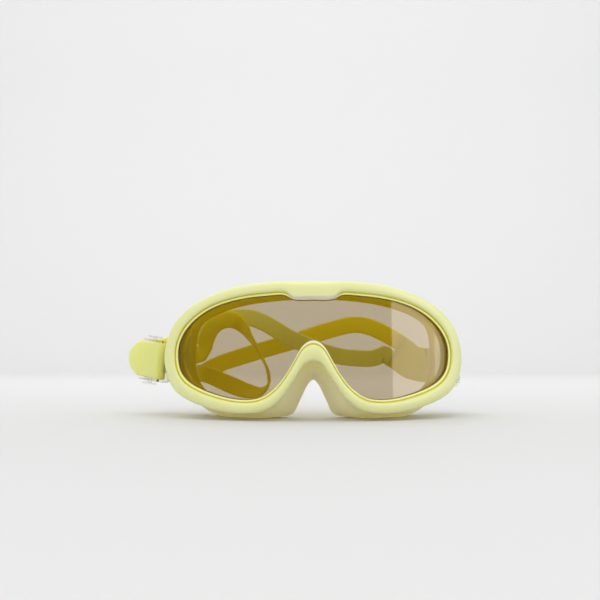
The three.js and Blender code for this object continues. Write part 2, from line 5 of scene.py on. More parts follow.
import bmesh
import bpy
import numpy as np
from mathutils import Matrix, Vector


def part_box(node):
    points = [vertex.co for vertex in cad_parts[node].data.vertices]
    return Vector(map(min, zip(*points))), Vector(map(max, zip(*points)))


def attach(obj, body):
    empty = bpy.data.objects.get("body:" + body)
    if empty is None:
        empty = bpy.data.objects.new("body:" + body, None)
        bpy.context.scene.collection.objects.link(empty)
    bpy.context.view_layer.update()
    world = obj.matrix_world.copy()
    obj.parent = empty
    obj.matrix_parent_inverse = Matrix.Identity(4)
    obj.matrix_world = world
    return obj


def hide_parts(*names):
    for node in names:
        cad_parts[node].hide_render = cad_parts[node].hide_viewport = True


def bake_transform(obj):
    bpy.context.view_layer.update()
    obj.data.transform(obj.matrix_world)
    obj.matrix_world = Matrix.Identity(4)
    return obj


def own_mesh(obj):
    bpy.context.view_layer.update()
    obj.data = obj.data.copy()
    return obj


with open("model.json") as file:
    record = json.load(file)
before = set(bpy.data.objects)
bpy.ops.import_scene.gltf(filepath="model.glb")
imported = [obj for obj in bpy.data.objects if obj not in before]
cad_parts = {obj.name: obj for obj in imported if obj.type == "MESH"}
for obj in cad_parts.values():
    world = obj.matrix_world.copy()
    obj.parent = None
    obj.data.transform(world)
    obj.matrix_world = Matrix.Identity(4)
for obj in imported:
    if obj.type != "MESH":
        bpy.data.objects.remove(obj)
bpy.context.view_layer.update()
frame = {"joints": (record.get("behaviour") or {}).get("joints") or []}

MM = 0.001
JOINTS = {joint["name"]: joint for joint in frame["joints"]}

# ---------- places taken from the CAD ----------

LENS_LOW, LENS_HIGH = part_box("lens")
TAB_FRONT = 0.9                     # the brow tab's face stands this far in front of the wrap cylinder
MIDDLE = np.array([
    (LENS_LOW.x + LENS_HIGH.x) / 2,
    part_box("front_frame")[0].y + TAB_FRONT * MM,
    0.0,
])

# ---------- dimensions in millimetres, about the mask's middle plane ----------

WRAP_RADIUS = 120.0
LENS_FRONT, LENS_BACK = 2.9, 4.9
SEAT = 2.6                          # depth of the ledge that the lens seal sits on
FLANGE_FRONT, FLANGE_BACK = 5.2, 6.7
RETAINER_FRONT, RETAINER_BACK = 7.0, 9.3
FRAME_BACK = 11.0
NECK = 12.0
WALL = 1.7
FLANGE_SHARE, NECK_SHARE = 0.72, 0.24   # shares of the way from lens edge to rim

STRAP_HALF = 10.0
TAIL_HALF = 9.6
STRAP_THICK = 1.6
BAND_HALF = 4.8
BAND_STEPS = (-2.2, 0.9, 3.4)       # a band's first points, along the strap from its slit
ROLLER_AT = 8.5
ROLLER_RADIUS = 1.6
WRAP_MIDDLE = 2.7                   # strap's middle line to the roller's axis
TAIL_END = 27.5
RUN_END = 20.3
BEND_RADIUS = 8.0
RAIL_INNER, RAIL_OUTER, RAIL_END = 10.3, 11.3, 19.5
RAIL_START, RAIL_HALF_HEIGHT = 3.0, 3.0
YOKE_START, YOKE_END, YOKE_HALF_HEIGHT = 3.2, 4.6, 2.2
BRIDGE_START, BRIDGE_END, BRIDGE_HALF_HEIGHT = 10.9, 17.0, 1.5
POCKET_START, POCKET_END, POCKET_FLOOR = 12.1, 15.4, 4.5
BARREL_HALF, BARREL_RADIUS, BORE_RADIUS = 5.9, 2.5, 1.35
LUG_INNER, LUG_OUTER, LUG_RADIUS = 6.2, 9.2, 2.7
UPPER_LUG_WALL, LOWER_LUG_WALL = (2.7, -5.4), (-1.1, -5.4)
PIN_PLACE = (75.8, 43.0, 28.5)
PIN_LEAN = 8                        # degrees, top of the pin leaning inwards
PIN_RADIUS = 1.0
PIN_HEAD, PIN_HEAD_RADIUS = 0.6, 1.8
CAP_START, CAP_END, CAP_HALF_HEIGHT = 10.2, 17.4, 2.3
STEM_START, STEM_END, STEM_HALF_HEIGHT, STEM_TIP = 12.5, 15.0, 0.6, 7.5
SPRING_MIDDLE, SPRING_SWING, WIRE_RADIUS = 13.75, 0.8, 0.15
SPRING_FOOT, SPRING_TOP = 4.95, 7.3

# Half outlines from the top middle round the wearer's left eye to the nose arch: x, z or x, z, depth.
LENS_EDGE = [
    [0, 60.3], [9.6, 60.3], [14.3, 62.8], [21.5, 62.5], [31.5, 61.7], [41.8, 59.9], [52.4, 56.3],
    [60.5, 51.2], [66.5, 45], [69.7, 38.5], [70.3, 32], [69.1, 25.2], [65.2, 19.9], [57.8, 15.7],
    [47, 12.2], [36.6, 10.5], [26.5, 11.5], [19, 16.5], [13.5, 23.4], [9.1, 31], [5, 37.9], [0, 40.4],
]
RIM_EDGE = [
    [0, 69.7], [11, 69.7], [16, 69.6], [23, 69.3], [34, 68.3], [45.5, 65.8], [57, 61.5],
    [66, 56.2], [73, 49.4], [76.9, 41.4], [79, 31], [77.3, 22.9], [72.8, 14.2], [62, 8.3],
    [49.4, 5], [37, 3.5], [24.5, 5.1], [16.8, 10.4], [12, 16.8], [7.6, 23.6], [4, 28.4], [0, 30],
]
SKIRT_WAIST = [
    [0, 65.5, 22], [11.5, 65.4, 22.5], [17, 66.3, 23], [25, 66.2, 24], [35, 65.4, 26.5],
    [45.5, 63.2, 30], [57, 59.2, 35], [66, 54, 40], [69.4, 47, 44], [69.9, 39, 46.5],
    [70.8, 31, 47.5], [70.5, 22.5, 47], [67.5, 13, 44], [59, 4.2, 37], [48, 0, 30], [37, 0, 22],
    [24.5, 0, 18], [15, 5, 18], [10.6, 12.6, 18.5], [7, 20, 18.5], [3.8, 25.4, 18], [0, 27.2, 18],
]
FACE_EDGE = [
    [0, 69.2, 36], [13, 69, 36.3], [19.5, 68.7, 36.8], [27, 68, 38], [37, 66.4, 40.5],
    [47, 63.9, 44.5], [58, 59.9, 50], [66.6, 54.4, 55], [69.8, 47.4, 59], [70.3, 39, 61],
    [71.2, 31, 61.5], [71, 22, 61], [68, 12.5, 58.5], [59.5, 3.8, 54], [49, 0, 49.5], [37.5, 0, 44.5],
    [22, 0, 38], [10.6, 1.2, 32], [7.6, 6.8, 30], [5, 12.4, 27.5], [2.6, 17.2, 25.6], [0, 19.7, 25],
]
SEAL_LIP = [
    [0, 62.3], [12, 62.2], [18, 61.8], [25, 61.2], [34, 60], [43.5, 57.9], [53, 54.8],
    [61.2, 50], [64.4, 44.5], [65.3, 38], [66, 31], [65.3, 23.6], [62.5, 16.8], [56, 10.6],
    [47.5, 7.2], [37.5, 6.8], [27, 7.6], [19.8, 10.4], [15.4, 15], [11.4, 20.6], [6.4, 26.4], [0, 28.6],
]
CROSSING_BAND = [
    [-63.8, 72.9, 46.9], [-58, 71.4, 50.5], [-51, 69.8, 53.3], [-44, 68.8, 54.6], [-36, 68.3, 54.4],
    [-28, 68, 51.5], [-13.5, 68, 43], [-2, 68.5, 38], [12, 69, 33], [27, 70, 31], [36, 70.8, 31.4],
]
# x, depth, z and the direction of the band's width there.
LOOPED_BAND = [
    [-62.8, 70.2, 36.1, -0.31, 0, 0.95], [-60.3, 67.3, 43.8, -0.8, 0, 0.6],
    [-56.5, 65, 49.6, -0.55, 0, 0.83], [-50.5, 64, 52.8, -0.15, 0, 1], [-44.5, 63, 52.6, 0.25, -0.2, 0.95],
    [-39.6, 62, 48.9, 0.5, -0.75, 0.5], [-35.6, 61, 43.2, 0.3, -1, 0.2], [-31.8, 60.5, 37.4, 0.15, -1, 0],
    [-28.4, 60.3, 31, 0.1, -1, 0], [-25.2, 60.3, 23.6, 0, -1, 0], [-25, 60.3, 16.5, 0, -1, -0.1],
    [-29.5, 60.3, 12.3, 0, -1, -0.5], [-36.5, 60.5, 12.6, 0, -0.6, -0.9], [-44.5, 60.8, 15.4, 0, -0.15, -1],
    [-52.5, 61.5, 18.8, 0, 0, -1], [-59, 63, 21.6, 0, 0, -1], [-64.3, 66, 22.5, 0, 0, -1],
    [-66.2, 70, 22.6, 0, 0, -1], [-63.4, 73.5, 22.9, 0, 0, -1], [-58.5, 74.3, 25.6, 0, 0, -1],
    [-52, 74.4, 28.6, 0, 0, -1], [-44.5, 74.525, 31.1, 0, 0, -1], [-36, 74.5, 33.8, 0, 0, -1],
    [-20, 74.5, 38.5, 0, 0, -1], [-7.6, 74.3, 42, 0, 0, -1], [10, 74, 47.5, 0, 0, -1],
    [24, 73.7, 50.6, 0, 0, -1], [34, 73.3, 48.8, -0.2, 0, -0.98],
]
LEFT_RUN = [[-92, 71.5, 31.5], [-84, 74.3, 33]]
RIGHT_RUN = [[57.5, 73.3, 28.9]]
LEFT_SLIT = ([-70, 73.5, 37.5], 18, -1)
RIGHT_SLIT = ([47, 72, 36], 33, 1)

STATIONS_PER_SPAN = 16
SMOOTHING = 4.0                     # in stations
TAB_FLAT, TAB_FADE = 9.6, 13.6      # half widths of the brow tab's face and of its slanting ends

# ---------- curves and surfaces ----------


def unit(vectors):
    """Each vector divided by its length."""
    return vectors / np.linalg.norm(vectors, axis=-1, keepdims=True)


def spline(points, closed, per_span):
    """Centripetal Catmull-Rom curve: between two neighbours, a cubic whose end slopes come from the
    points around them, each interval weighted by the square root of its length."""
    points = np.asarray(points, float)
    if closed:
        around = np.vstack([points[-1:], points, points[:2]])
    else:
        around = np.vstack([2 * points[0] - points[1], points, 2 * points[-1] - points[-2]])
    gap = np.sqrt(np.linalg.norm(np.diff(around, axis=0), axis=1))[:, None]
    before, start, end, after = around[:-3], around[1:-2], around[2:-1], around[3:]
    g0, g1, g2 = gap[:-2], gap[1:-1], gap[2:]
    slope_in = ((start - before) / g0 - (end - before) / (g0 + g1) + (end - start) / g1) * g1
    slope_out = ((end - start) / g1 - (after - start) / (g1 + g2) + (after - end) / g2) * g1
    s = (np.arange(per_span) / per_span)[None, :, None]
    start, end, slope_in, slope_out = (a[:, None, :] for a in (start, end, slope_in, slope_out))
    curve = (
        start * (2 * s**3 - 3 * s**2 + 1) + end * (3 * s**2 - 2 * s**3)
        + slope_in * (s**3 - 2 * s**2 + s) + slope_out * (s**3 - s**2)
    ).reshape(-1, points.shape[1])
    return curve if closed else np.vstack([curve, points[-1:]])


def smoothed(curve, width):
    """Closed curve averaged with its neighbours under a bell-shaped weight."""
    reach = int(3 * width)
    offsets = np.arange(-reach, reach + 1)
    weights = np.exp(-0.5 * (offsets / width) ** 2)
    weights /= weights.sum()
    return sum(w * np.roll(curve, -k, axis=0) for w, k in zip(weights, offsets))


def outline(half):
    """Half outline mirrored into a closed smooth curve: columns x, depth, z."""
    half = np.array([[p[0], p[2] if len(p) > 2 else 0.0, p[1]] for p in half], float)
    mirrored = half[1:-1][::-1] * [-1, 1, 1]
    return smoothed(spline(np.vstack([half, mirrored]), True, STATIONS_PER_SPAN), SMOOTHING)


def even_spacing(curve, count):
    """The same open curve with its points evenly spaced along its length."""
    length = np.concatenate([[0], np.cumsum(np.linalg.norm(np.diff(curve[:, :3], axis=0), axis=1))])
    at = np.linspace(0, length[-1], count)
    return np.stack([np.interp(at, length, column) for column in curve.T], axis=1)


def wrap_depth(x):
    """Depth of the wrap cylinder at x: radius minus the root of radius squared less x squared."""
    return WRAP_RADIUS - np.sqrt(WRAP_RADIUS**2 - x**2)


LENS_CURVE, RIM_CURVE, WAIST_CURVE, FACE_CURVE, LIP_CURVE = (
    outline(half) for half in (LENS_EDGE, RIM_EDGE, SKIRT_WAIST, FACE_EDGE, SEAL_LIP)
)


def rim_point(share, depth):
    """Lens edge plus a share of the way to the rim, at a depth behind the wrap cylinder."""
    share = np.broadcast_to(share, LENS_CURVE.shape[:1])[:, None]
    point = LENS_CURVE + share * (RIM_CURVE - LENS_CURVE)
    point[:, 1] = wrap_depth(point[:, 0]) + depth
    return point


def tab_blend(plain, tab):
    """Plain value away from the brow, tab value within the brow tab, with a smooth change between."""
    x = np.abs(LENS_CURVE[:, 0])
    t = np.clip((TAB_FADE - x) / (TAB_FADE - TAB_FLAT), 0, 1)
    weight = t * t * (3 - 2 * t) * (LENS_CURVE[:, 2] > 50)
    return plain + (tab - plain) * weight


def rounded_rings(corners, radii, steps=5):
    """Closed section at every station. Each corner is cut back along both its sides by its radius,
    at most 0.47 of a side, and the cut is joined by a quadratic curve that bends towards the corner.
    corners: sections' corner points, (corner, station, 3). Gives (station, point, 3)."""
    corners = np.asarray(corners, float)
    radii = np.broadcast_to(np.asarray(radii, float), (len(corners),))[:, None, None]
    to_next = np.roll(corners, -1, axis=0) - corners
    reach = np.linalg.norm(to_next, axis=2, keepdims=True) + 1e-9
    to_last = -np.roll(to_next, 1, axis=0)
    last_reach = np.roll(reach, 1, axis=0)
    first = corners + to_last / last_reach * np.minimum(radii, 0.47 * last_reach)
    second = corners + to_next / reach * np.minimum(radii, 0.47 * reach)
    s = np.linspace(0, 1, steps)[None, :, None, None]
    curve = (
        first[:, None] * (1 - s) ** 2 + corners[:, None] * 2 * s * (1 - s) + second[:, None] * s**2
    )
    return curve.reshape(-1, corners.shape[1], 3).transpose(1, 0, 2)


def rounded_outline(corners, radii, steps=5):
    """A flat closed outline with quadratic corners, as columns u, v."""
    flat = np.zeros((len(corners), 1, 3))
    flat[:, 0, :2] = corners
    return rounded_rings(flat, radii, steps)[0][:, :2]


# ---------- meshes ----------


def sheet(points, close_rows=True, close_columns=True, **layers):
    """Quads between neighbouring points of a grid (row, column, 3), turned so that they face outwards.
    A layer gives each point a number that the finish reads."""
    rows, columns = points.shape[:2]
    i = np.arange(rows if close_rows else rows - 1)[:, None]
    j = np.arange(columns if close_columns else columns - 1)[None, :]
    i_next, j_next = (i + 1) % rows, (j + 1) % columns
    faces = np.stack([
        i * columns + j, i_next * columns + j, i_next * columns + j_next, i * columns + j_next,
    ], axis=-1).reshape(-1, 4)
    verts = points.reshape(-1, 3)
    a, b, c, d = (verts[faces[:, k]] for k in range(4))
    volume = np.einsum("ij,ij->", a, np.cross(b, c)) + np.einsum("ij,ij->", a, np.cross(c, d))
    if volume < 0:
        faces = faces[:, ::-1]
    numbers = {
        key: np.broadcast_to(value, (rows, columns)).reshape(-1) for key, value in layers.items()
    }
    return verts, faces, numbers


def tube(rings, **layers):
    """An open row of closed sections, with each end drawn together to a point in its middle."""
    first = np.repeat(rings[:1].mean(axis=1, keepdims=True), rings.shape[1], axis=1)
    last = np.repeat(rings[-1:].mean(axis=1, keepdims=True), rings.shape[1], axis=1)
    layers = {
        key: np.concatenate([v[:1], v, v[-1:]])
        for key, v in ((k, np.broadcast_to(v, rings.shape[:2])) for k, v in layers.items())
    }
    return sheet(np.concatenate([first, rings, last]), close_rows=False, **layers)


def plate(edge, low, high, round_over, basis=None):
    """An outline (u, v) made thick from low to high along w. Its rims are quarter rounds: at an angle
    through the round, the outline stands in by radius times one minus the sine."""
    ahead = np.roll(edge, -1, axis=0) - np.roll(edge, 1, axis=0)
    inward = unit(np.stack([-ahead[:, 1], ahead[:, 0]], axis=1))
    x, y = edge[:, 0], edge[:, 1]
    if np.sum(x * np.roll(y, -1) - np.roll(x, -1) * y) < 0:
        inward = -inward
    angle = np.linspace(0, np.pi / 2, 4)
    inset = round_over * (1 - np.sin(angle))
    level = round_over * (1 - np.cos(angle))
    insets = np.concatenate([inset, inset[::-1]])
    levels = np.concatenate([low + level, high - level[::-1]])
    rings = np.zeros((len(insets), len(edge), 3))
    rings[:, :, :2] = edge[None] + inward[None] * insets[:, None, None]
    rings[:, :, 2] = levels[:, None]
    return rings if basis is None else basis(rings)


def turned(profile, sides, basis):
    """A profile of (radius, w) points turned round the w axis: u is radius times cosine, v is sine."""
    angle = np.linspace(0, 2 * np.pi, sides, endpoint=False)
    radius, level = np.asarray(profile, float).T
    rings = np.stack([
        radius[:, None] * np.cos(angle), radius[:, None] * np.sin(angle),
        np.repeat(level[:, None], sides, axis=1),
    ], axis=-1)
    return basis(rings)


def piece(name, shells, finish, replaces=(), body=None):
    """One object from closed shells given in millimetres about the mask's middle."""
    offset, verts, faces, layers = 0, [], [], {}
    keys = sorted({key for _, _, numbers in shells for key in numbers})
    for points, quads, numbers in shells:
        verts.append(points)
        faces.append(quads + offset)
        offset += len(points)
        for key in keys:
            layers.setdefault(key, []).append(numbers.get(key, np.zeros(len(points))))
    mesh = bpy.data.meshes.new(name)
    mesh.from_pydata((np.vstack(verts) * MM + MIDDLE).tolist(), [], np.vstack(faces).tolist())
    for key, numbers in layers.items():
        layer = mesh.attributes.new(key, "FLOAT", "POINT")
        layer.data.foreach_set("value", np.concatenate(numbers).astype(np.float32))
    weld(mesh)
    mesh.shade_smooth()
    mesh.materials.append(finish)
    made = bpy.data.objects.new(name, mesh)
    bpy.context.scene.collection.objects.link(made)
    if replaces:
        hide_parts(*replaces)
    if body:
        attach(made, body)
    return made


def weld(mesh):
    """Merges the points that meet at poles and drops the faces that this leaves without area."""
    work = bmesh.new()
    work.from_mesh(mesh)
    bmesh.ops.remove_doubles(work, verts=work.verts, dist=1e-7)
    bmesh.ops.dissolve_degenerate(work, edges=work.edges, dist=1e-8)
    work.to_mesh(mesh)
    work.free()


# ---------- finishes ----------


class Number:
    """A socket that carries a value. Arithmetic on it adds Math nodes."""

    def __init__(self, finish, socket):
        self.finish = finish
        self.socket = socket

    def _math(self, operation, *terms):
        return self.finish.node("ShaderNodeMath", {"operation": operation}, dict(enumerate(terms)))

    def __add__(self, other):
        return self._math("ADD", self, other)

    def __sub__(self, other):
        return self._math("SUBTRACT", self, other)

    def __mul__(self, other):
        return self._math("MULTIPLY", self, other)

    __radd__ = __add__
    __rmul__ = __mul__


class Finish:
    """A material and its nodes."""

    def __init__(self, name):
        self.material = bpy.data.materials.new(name)
        self.material.use_nodes = True
        self.tree = self.material.node_tree
        self.tree.nodes.clear()

    def node(self, kind, settings=None, inputs=None, output=0):
        """Adds a node: its settings first, then values or links for its sockets."""
        made = self.tree.nodes.new(kind)
        for key, value in (settings or {}).items():
            setattr(made, key, value)
        for key, value in (inputs or {}).items():
            if isinstance(value, Number):
                self.tree.links.new(value.socket, made.inputs[key])
            else:
                made.inputs[key].default_value = value
        return Number(self, made.outputs[output])

    def place(self):
        return self.node("ShaderNodeTexCoord", output="Object")

    def layer(self, name):
        return self.node("ShaderNodeAttribute", {"attribute_name": name}, output="Fac")

    def noise(self, scale, detail=2.0, roughness=0.5):
        return self.node("ShaderNodeTexNoise", None, {
            "Vector": self.place(), "Scale": scale, "Detail": detail, "Roughness": roughness,
        })

    def mix(self, share, first, second):
        """Colour that goes from first to second as share goes from 0 to 1."""
        return self.node(
            "ShaderNodeMix", {"data_type": "RGBA", "clamp_factor": True},
            {0: share, 6: first, 7: second}, output=2,
        )

    def bump(self, height, strength, distance):
        return self.node("ShaderNodeBump", None, {
            "Height": height, "Strength": strength, "Distance": distance,
        })

    def principled(self, **inputs):
        named = {key.replace("_", " ").title().replace("Ior", "IOR"): v for key, v in inputs.items()}
        return self.node("ShaderNodeBsdfPrincipled", None, named, output="BSDF")

    def done(self, surface):
        out = self.tree.nodes.new("ShaderNodeOutputMaterial")
        self.tree.links.new(surface.socket, out.inputs["Surface"])
        return self.material


def linear(red, green, blue, alpha=1.0):
    """Screen colour, 0 to 255, as the linear colour that a shader takes."""
    def one(c):
        c /= 255
        return c / 12.92 if c <= 0.04045 else ((c + 0.055) / 1.055) ** 2.4
    return (one(red), one(green), one(blue), alpha)


PALE_LIME = linear(222, 224, 162)
# Deeper lime: painted shade in the recessed groove and on the frame's hidden back, also the target of the
# random cloudy tone.
LIME_SHADE_AND_CLOUDING = linear(216, 212, 50)
# Painted highlight: whitish colour for the bevel under the brow tab and the bead's top over the nose arch.
HIGHLIGHT_WHITE = linear(232, 230, 212)
BEAD_PALE = linear(236, 237, 165)
# Painted light: the pale colours are the silicone as it looks front-lit; the deep yellow stands in for light
# coming through it from behind, and also tints the random mottling.
SILICONE_FRONT = (0.98, 0.965, 0.80, 1.0)
SILICONE_STRAP = linear(236, 238, 156)
SILICONE_BACKLIT_AND_MOTTLE = (0.92, 0.84, 0.02, 1.0)


def moulded_plastic(name, face, shade_and_clouding):
    """Satin plastic: painted shade deepens the colour where the layer groove is 1, and a painted
    white highlight is laid where chamfer is 1; cloudy tone varies at random, and a fine grain varies gloss
    and relief."""
    f = Finish(name)
    cloudy = f.noise(70.0, 3.0)
    colour = f.mix(f.layer("groove"), face, shade_and_clouding)
    colour = f.mix(f.layer("chamfer"), colour, HIGHLIGHT_WHITE)
    colour = f.mix((cloudy - 0.5) * 0.25, colour, shade_and_clouding)
    grain = f.noise(2600.0, 2.0)
    return f.done(f.principled(
        base_color=colour,
        roughness=grain * 0.10 + 0.30,
        normal=f.bump(grain, 0.05, 0.0002),
        subsurface_weight=0.35,
        subsurface_radius=(1.0, 0.9, 0.35),
        subsurface_scale=0.0022,
        ior=1.46,
    ))


def silicone(name, front_lit, backlit_and_mottle, passing):
    """Translucent silicone: painted light, with the front-lit colour where the layer inner is 0 and a deeper
    colour standing in for light coming through from behind where it is 1; soft mottling, uneven flow lines
    across the layer run, and a matt bloom. passing gives the shares of light that go through where inner is
    0 and where it is 1."""
    f = Finish(name)
    mottle = f.noise(110.0, 4.0, 0.6)
    flow = f.node("ShaderNodeTexNoise", {"noise_dimensions": "1D"}, {
        "W": f.layer("run") * 0.55, "Scale": 1.0, "Detail": 2.0,
    })
    colour = f.mix(f.layer("inner"), front_lit, backlit_and_mottle)
    colour = f.mix((mottle - 0.45) * 0.3 + (flow - 0.5) * 0.35, colour, backlit_and_mottle)
    fine = f.noise(1800.0, 3.0)
    body = f.principled(
        base_color=colour,
        roughness=fine * 0.18 + 0.36,
        normal=f.bump(fine * 0.2 + flow, 0.25, 0.0004),
        subsurface_weight=0.5,
        subsurface_radius=(1.0, 0.85, 0.2),
        subsurface_scale=0.003,
        ior=1.41,
    )
    through = f.node("ShaderNodeBsdfTranslucent", None, {"Color": colour})
    share = f.layer("inner") * (passing[1] - passing[0]) + passing[0]
    return f.done(f.node("ShaderNodeMixShader", None, {0: share, 1: body, 2: through}))


def see_through(name, tint, gloss, coat):
    """Clear plastic: tinted light passes straight through, and a share that grows towards grazing
    angles is reflected. gloss holds that share head on, its growth, and the least roughness."""
    f = Finish(name)
    grazing = f.node("ShaderNodeLayerWeight", None, {"Blend": 0.35}, output="Fresnel")
    share = grazing * gloss[1] + gloss[0]
    passed = f.node("ShaderNodeBsdfTransparent", None, {"Color": tint})
    fine = f.noise(900.0, 2.0)
    surface = f.principled(
        base_color=coat, metallic=1.0, roughness=fine * 0.03 + gloss[2],
        normal=f.bump(fine, 0.01, 0.0002),
    )
    return f.done(f.node("ShaderNodeMixShader", None, {0: share, 1: passed, 2: surface}))


def drawn_steel(name):
    """Stainless steel with fine cloudy wear in its gloss."""
    f = Finish(name)
    wear = f.noise(1500.0, 3.0)
    return f.done(f.principled(
        base_color=f.mix(wear, (0.56, 0.57, 0.58, 1), (0.72, 0.72, 0.73, 1)),
        metallic=1.0,
        roughness=wear * 0.2 + 0.18,
        normal=f.bump(wear, 0.05, 0.0001),
    ))


FRAME_FINISH = moulded_plastic("pale_lime_plastic", PALE_LIME, LIME_SHADE_AND_CLOUDING)
SEAL_FINISH = moulded_plastic("lens_bead_rubber", BEAD_PALE, LIME_SHADE_AND_CLOUDING)
SKIRT_FINISH = silicone("skirt_silicone", SILICONE_FRONT, SILICONE_BACKLIT_AND_MOTTLE, (0.35, 0.9))
STRAP_FINISH = silicone("strap_silicone", SILICONE_STRAP, SILICONE_BACKLIT_AND_MOTTLE, (0.25, 0.4))
LENS_FINISH = see_through(
    "smoke_tinted_lens", (0.768, 0.702, 0.585, 1), (0.04, 0.28, 0.03), (1, 0.97, 0.92, 1),
)
CLEAR_FINISH = see_through(
    "clear_buckle_plastic", (0.95, 0.955, 0.93, 1), (0.03, 0.22, 0.16), (1, 1, 1, 1),
)
STEEL_FINISH = drawn_steel("drawn_steel")

# ---------- front: frame, seal, lens, skirt, retainer ----------


def frame_ring():
    """Section at each station between lens edge and rim: a soft roll in front, a plain skirt wall
    behind. Across the brow the roll becomes the tab: a bevel painted white as a highlight, then a level
    face."""
    share = [
        tab_blend(0.20, 0.03), tab_blend(0.20, 0.045), tab_blend(0.34, 0.185), tab_blend(0.62, 0.66),
        0.93, 1.0, 1.0, 0.8, 0.8,
    ]
    depth = [
        2.3, tab_blend(0.55, 1.5), tab_blend(-0.45, -TAB_FRONT), tab_blend(-0.55, -TAB_FRONT),
        0.35, 3.4, FRAME_BACK, FRAME_BACK, 2.3,
    ]
    corners = [rim_point(s, d) for s, d in zip(share, depth)]
    radii = [0.1, 0.45, 0.9, 2.2, 2.4, 3.0, 0.5, 0.4, 0.2]
    steps = 7
    rings = rounded_rings(corners, radii, steps)
    # Painted shade: the recessed groove wall by the lens and the frame's back edge take the deeper lime.
    groove = np.zeros(rings.shape[1])
    groove[:steps] = 1.0
    groove[steps:2 * steps] = np.linspace(1.0, 0.0, steps)
    groove[-steps:] = 1.0
    tab = tab_blend(0.0, 1.0)[:, None]
    # Painted reflection: the bevel under the brow tab, which faces the pale floor, is painted whitish.
    lower = np.zeros(rings.shape[1])
    lower[:2 * steps] = 1.0
    lower[2 * steps:3 * steps] = np.linspace(1.0, 0.0, steps)
    return sheet(rings, groove=groove[None] * (1 - tab), chamfer=lower[None] * tab)


def hinge_lugs():
    """Four lugs: a round eye with a tapering web that runs into the frame's wall."""
    lean = math.radians(PIN_LEAN)
    angle = np.linspace(0, 2 * np.pi, 40, endpoint=False)
    circle = np.stack([np.cos(angle), np.sin(angle)], axis=1)
    shells = []
    for side in (-1, 1):
        for level in (-1, 1):
            wall = np.array(UPPER_LUG_WALL if level > 0 else LOWER_LUG_WALL)
            toward = unit(wall)
            reach = np.clip(circle @ toward, 0, 1) ** 3 * (np.linalg.norm(wall) - LUG_RADIUS)
            eye = LUG_RADIUS * circle + toward[None] * reach[:, None]
            low, high = (LUG_INNER, LUG_OUTER) if level > 0 else (-LUG_OUTER, -LUG_INNER)
            rings = plate(eye, low, high, 0.5)
            x = rings[..., 0] * math.cos(lean) - rings[..., 2] * math.sin(lean)
            z = rings[..., 0] * math.sin(lean) + rings[..., 2] * math.cos(lean)
            placed = np.stack([x, rings[..., 1], z], axis=-1) + PIN_PLACE
            placed[..., 0] *= side
            shells.append(tube(placed))
    return shells


def seal_ring():
    """A round bead beside the lens edge, a shallow channel, then a ledge that runs under the frame.
    Over the top of the nose arch the bead is painted white as a highlight, and the channel is painted with
    shade."""
    crest = tab_blend(0.95, 2.2)
    floor = tab_blend(1.2, 2.3)
    corners = [rim_point(s, d) for s, d in (
        (0.0, SEAT), (0.0, crest), (0.125, crest), (0.14, floor), (0.197, floor), (0.197, 2.3),
        (0.5, 2.3), (0.5, SEAT),
    )]
    steps = 7
    rings = rounded_rings(corners, [0.1, 0.55, 0.5, 0.25, 0.05, 0.05, 0.1, 0.1], steps)
    # Painted shade: the groove's far slope, its floor and the hidden ledge take the deeper lime.
    groove = np.zeros(rings.shape[1])
    groove[2 * steps + steps // 2:] = 1.0
    # Painted highlight: the bead's top over the nose arch, facing the light from above, is painted white.
    x, z = LENS_CURVE[:, 0], LENS_CURVE[:, 2]
    arch = np.exp(-(x / 9.0) ** 4) * (z < 45) * np.clip((z - 24) / 8, 0, 1)
    return sheet(rings, groove=groove[None], chamfer=arch[:, None] * (1 - groove[None]))


def lens_shell():
    """Curved sheet of even thickness. Upper and lower edge points are paired from the middle out to
    the lens's two tips, and straight lines between the pairs carry the sheet."""
    edge = rim_point(0.62, 0.0)
    count = len(edge)
    tip = 10 * STATIONS_PER_SPAN
    tip = tip + int(np.argmax(edge[tip - 20:tip + 20, 0])) - 20
    nose = count // 2
    along = np.linspace(0, 1, 150) ** 0.8
    index = np.arange(count)
    columns = [0, 2]
    upper = np.stack([np.interp(along * tip, index, edge[:, c]) for c in columns], axis=1)
    lower = np.stack([np.interp(nose - along * (nose - tip), index, edge[:, c]) for c in columns], axis=1)
    upper = np.vstack([upper[::-1] * [-1, 1], upper[1:]])
    lower = np.vstack([lower[::-1] * [-1, 1], lower[1:]])
    s = np.linspace(0, 1, 40)[None, :, None]
    flat = lower[:, None] * (1 - s) + upper[:, None] * s
    x, z = flat[..., 0], flat[..., 1]
    front = np.stack([x, wrap_depth(x) + LENS_FRONT, z], axis=-1)
    back = np.stack([x, wrap_depth(x) + LENS_BACK, z], axis=-1)
    return sheet(np.concatenate([front, back[:, ::-1]], axis=1), close_rows=False)


